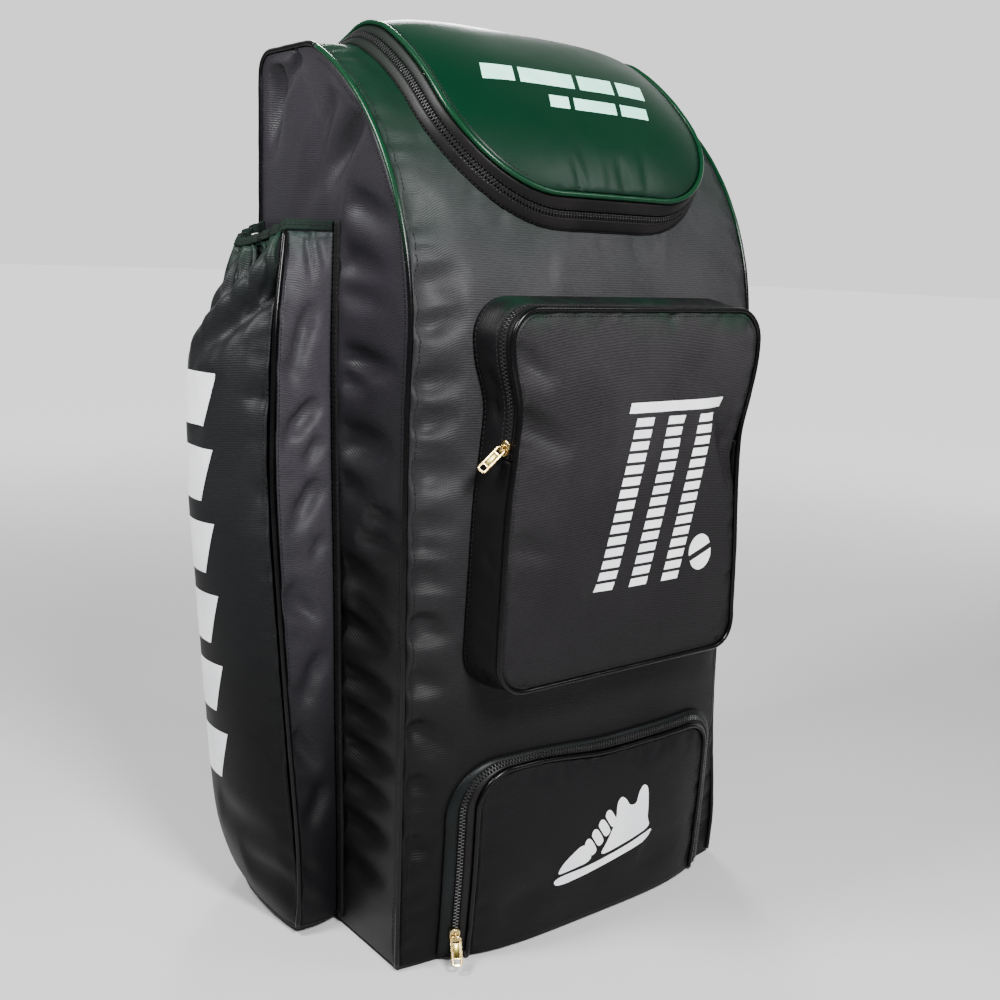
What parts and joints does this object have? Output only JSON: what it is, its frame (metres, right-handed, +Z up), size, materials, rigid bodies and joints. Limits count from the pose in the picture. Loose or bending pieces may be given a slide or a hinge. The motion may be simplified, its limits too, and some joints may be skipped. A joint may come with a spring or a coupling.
{
  "type": "cricket kit bag",
  "caption": "Tall zipped kit bag of coated nylon with a raised lid, a box pocket, a shoe pocket, an open side pocket for bats and back straps.",
  "frame": {"origin": "middle of the main body's flat underside", "axes": "+Z up, front with its pockets towards -Y, bat pocket on the -X side, straps on the +Y back"},
  "size_m": [0.511, 0.3617, 0.831],
  "materials": {
    "black_nylon": "coated black nylon with a fine weave and a dull sheen",
    "green_nylon": "glossy coated nylon printed dark green",
    "pocket_nylon": "coated charcoal nylon",
    "band_vinyl": "vinyl-coated band beside a zip",
    "zip_tape": "black woven tape with coil teeth",
    "piping_vinyl": "glossy black vinyl piping",
    "elastic": "gathered elastic binding",
    "gold_metal": "pale gold plated zinc, bright",
    "strap_mesh": "padded black mesh and webbing"
  },
  "bodies": {
    "bag": {"front_panel": "black_nylon", "side_panel_left": "black_nylon", "side_panel_right": "black_nylon", "back_panel": "black_nylon", "base_panel": "black_nylon", "edge_piping_left": "piping_vinyl", "edge_piping_right": "piping_vinyl", "rear_binding_left": "piping_vinyl", "rear_binding_right": "piping_vinyl", "lid_panel": "green_nylon", "lid_lower_band": "band_vinyl", "lid_zip": "zip_tape", "lid_upper_band": "band_vinyl", "lid_piping": "piping_vinyl", "lid_slider": "gold_metal", "front_pocket_face": "pocket_nylon", "front_pocket_gusset": "pocket_nylon", "front_pocket_zip": "zip_tape", "front_pocket_band": "band_vinyl", "front_pocket_piping": "piping_vinyl", "front_pocket_slider": "gold_metal", "shoe_pocket_panel": "pocket_nylon", "shoe_pocket_outer_band": "band_vinyl", "shoe_pocket_zip": "zip_tape", "shoe_pocket_inner_band": "band_vinyl", "shoe_pocket_piping": "piping_vinyl", "shoe_pocket_slider": "gold_metal", "side_pocket_panel": "pocket_nylon", "side_pocket_gusset": "pocket_nylon", "side_pocket_base": "pocket_nylon", "side_pocket_piping": "piping_vinyl", "side_pocket_elastic": "elastic", "side_pocket_binding": "zip_tape", "shoulder_strap_left": "strap_mesh", "shoulder_strap_right": "strap_mesh", "strap_webbing_left": "strap_mesh", "strap_webbing_right": "strap_mesh", "grab_handle": "strap_mesh"},
    "front_pull": {"front_pocket_pull": "gold_metal"},
    "shoe_pull": {"shoe_pocket_pull": "gold_metal"}
  },
  "joints": [
    {"name": "front_pull_hinge", "type": "hinge", "parent": "bag", "child": "front_pull", "pos_m": [-0.14314, -0.18127, 0.47319], "axis": [-0.0911, 0.9052, 0.4151], "range_deg": [-28, 118]},
    {"name": "shoe_pull_hinge", "type": "hinge", "parent": "bag", "child": "shoe_pull", "pos_m": [-0.15132, -0.15011, 0.02666], "axis": [-0.8926, 0.4488, 0.042], "range_deg": [-25, 85]}
  ]
}
